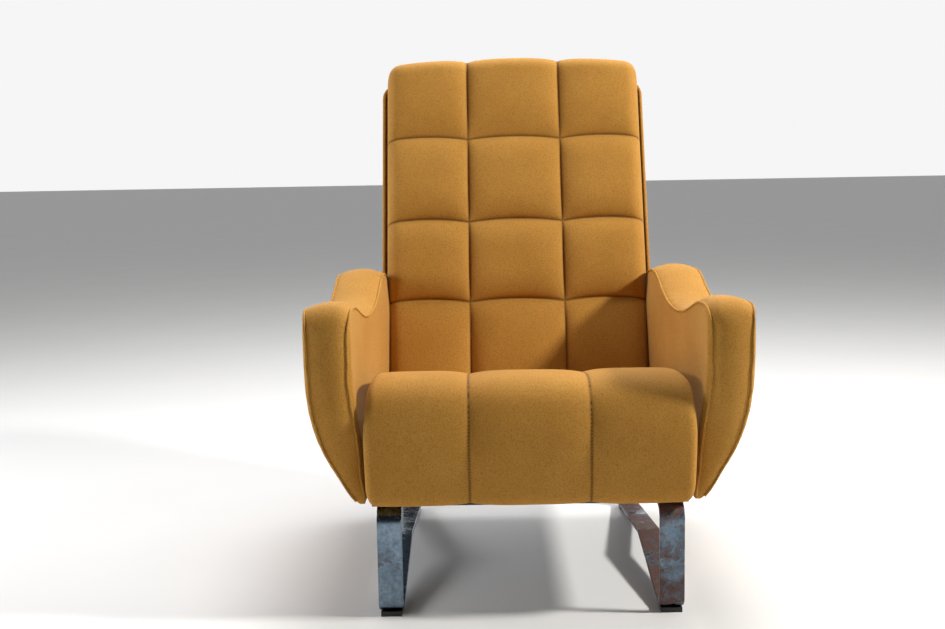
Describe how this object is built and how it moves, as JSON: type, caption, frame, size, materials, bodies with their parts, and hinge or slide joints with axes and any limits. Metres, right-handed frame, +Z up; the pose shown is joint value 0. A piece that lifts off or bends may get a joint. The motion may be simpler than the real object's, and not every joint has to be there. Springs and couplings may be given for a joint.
{
  "type": "upholstered armchair",
  "caption": "Upholstered lounge armchair with a quilted reclined back, wave-topped padded arms and bent flat-steel loop legs.",
  "frame": {"origin": "on the floor under the middle of the chair", "axes": "+Z up, -Y towards the front of the seat, +X to the right when facing the chair"},
  "size_m": [0.704, 0.8441, 0.9354],
  "materials": {
    "leg_steel": "aged bright plating with pitting and rust",
    "glide_plastic": "matte",
    "zinc_steel": "zinc plated",
    "spring_wire": "oiled",
    "beech": "planed, unfinished",
    "plywood": "sanded",
    "black_cloth": "matte",
    "deck_cloth": "woven",
    "webbing": "woven",
    "foam": "open cell",
    "piping_fabric": "matte",
    "mustard_fabric": "fine knit, matte"
  },
  "bodies": {
    "root": {"arm_band_left": "mustard_fabric", "arm_band_right": "mustard_fabric", "arm_bolts": "zinc_steel", "arm_core_left": "plywood", "arm_core_right": "plywood", "arm_inner_pad_left": "mustard_fabric", "arm_inner_pad_right": "mustard_fabric", "arm_outer_pad_left": "mustard_fabric", "arm_outer_pad_right": "mustard_fabric", "arm_piping_inner_left": "piping_fabric", "arm_piping_inner_right": "piping_fabric", "arm_piping_outer_left": "piping_fabric", "arm_piping_outer_right": "piping_fabric", "arm_spacer_blocks": "beech", "back_bottom_rail": "beech", "back_cover": "mustard_fabric", "back_foam": "foam", "back_stile_left": "beech", "back_stile_right": "beech", "back_straps": "webbing", "back_top_rail": "beech", "corner_blocks": "beech", "dust_cover": "black_cloth", "foot_glides": "glide_plastic", "front_rail": "beech", "loop_bolts": "zinc_steel", "loop_washers": "zinc_steel", "rear_apron": "mustard_fabric", "rear_rail": "beech", "seat_cover": "mustard_fabric", "seat_foam": "foam", "seat_springs": "spring_wire", "shell_cover": "mustard_fabric", "shell_panel": "plywood", "side_frame_left": "leg_steel", "side_frame_right": "leg_steel", "side_rail_left": "beech", "side_rail_right": "beech", "spring_clips": "zinc_steel", "spring_deck": "deck_cloth", "stile_bolts": "zinc_steel", "stile_nuts": "zinc_steel"}
  },
  "joints": []
}
